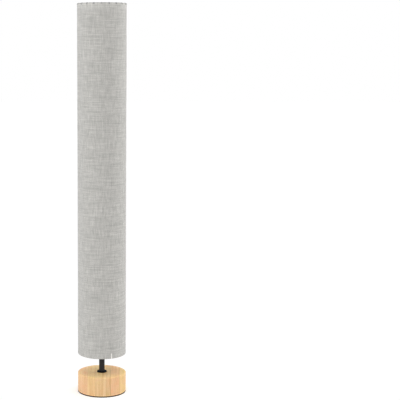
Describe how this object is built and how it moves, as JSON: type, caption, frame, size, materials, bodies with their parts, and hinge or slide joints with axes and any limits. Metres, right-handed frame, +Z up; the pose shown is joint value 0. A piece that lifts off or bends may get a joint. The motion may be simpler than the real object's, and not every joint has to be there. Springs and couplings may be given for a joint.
{
  "type": "column floor lamp",
  "caption": "Tall floor lamp: a cylindrical linen sleeve on a wire frame over a thin black pole, on a round weighted wooden base, with one screw-in bulb.",
  "frame": {"origin": "centre of the foot pad's lower face, on the floor under the pole's axis", "axes": "+Z up along the pole; -Y is the front that the picture shows; the cord inlet is at the back, towards +Y; +X to the viewer's right"},
  "size_m": [0.1512, 0.1512, 1.2],
  "materials": {
    "foot_foam": "matte closed-cell foam",
    "wood": "edge-glued strips, clear satin lacquer",
    "cast_iron": "raw casting, machined faces",
    "zinc_steel": "bright zinc plating",
    "black_paint": "satin black powder coat",
    "gland_plastic": "moulded nylon",
    "wire_white": "white powder coat on steel wire",
    "linen": "plain-woven linen, light grey with slubs",
    "thread": "twisted grey thread",
    "tab_tape": "plain pale woven tape",
    "holder_black": "moulded thermoset",
    "core_white": "unglazed white steatite",
    "brass": "plain rolled brass",
    "cap_metal": "rolled bright aluminium",
    "insulator_black": "black vitrite",
    "bulb_white": "white moulded plastic",
    "board_white": "white solder mask",
    "bulb_diffuser": "milky polycarbonate"
  },
  "bodies": {
    "lamp": {"foot_pad": "foot_foam", "wood_base": "wood", "base_weight": "cast_iron", "weight_screws": "zinc_steel", "base_washer": "zinc_steel", "base_nut": "zinc_steel", "base_nipple": "zinc_steel", "cord_gland": "gland_plastic", "base_collar": "black_paint", "stem": "black_paint", "stem_coupler": "zinc_steel", "lower_pole": "black_paint", "lower_coupler": "zinc_steel", "middle_pole": "black_paint", "upper_coupler": "zinc_steel", "upper_pole": "black_paint", "holder_nipple": "zinc_steel", "bottom_wheel": "wire_white", "lower_struts": "wire_white", "lower_sleeves": "wire_white", "middle_struts": "wire_white", "upper_sleeves": "wire_white", "upper_struts": "wire_white", "shade_carrier": "wire_white", "top_struts": "wire_white", "top_ring": "wire_white", "shade_cloth": "linen", "top_hem": "linen", "bottom_hem": "linen", "rim_tacks": "thread", "hem_tab": "tab_tape", "holder_cap": "holder_black", "holder_barrel": "holder_black", "holder_core": "core_white", "terminal_screws": "brass", "centre_contact": "brass", "screw_shell": "brass", "ring_nut": "holder_black"},
    "foot_contact": {"bulb_contact": "zinc_steel"},
    "bulb": {"bulb_insulator": "insulator_black", "bulb_cap": "cap_metal", "bulb_housing": "bulb_white", "led_board": "board_white", "bulb_globe": "bulb_diffuser"}
  },
  "joints": [
    {"name": "foot_contact_lift", "type": "slide", "parent": "lamp", "child": "foot_contact", "axis": [0, 0, 1], "range_m": [0, 0.01634]},
    {"name": "bulb_turn", "type": "hinge", "parent": "foot_contact", "child": "bulb", "pos_m": [0, 0, 0.9189], "axis": [0, 0, 1], "range_deg": [0, 1620]}
  ],
  "couplings": [
    {"joint": "foot_contact_lift", "follows": "bulb_turn", "m_per_rad": 0.00057757}
  ]
}
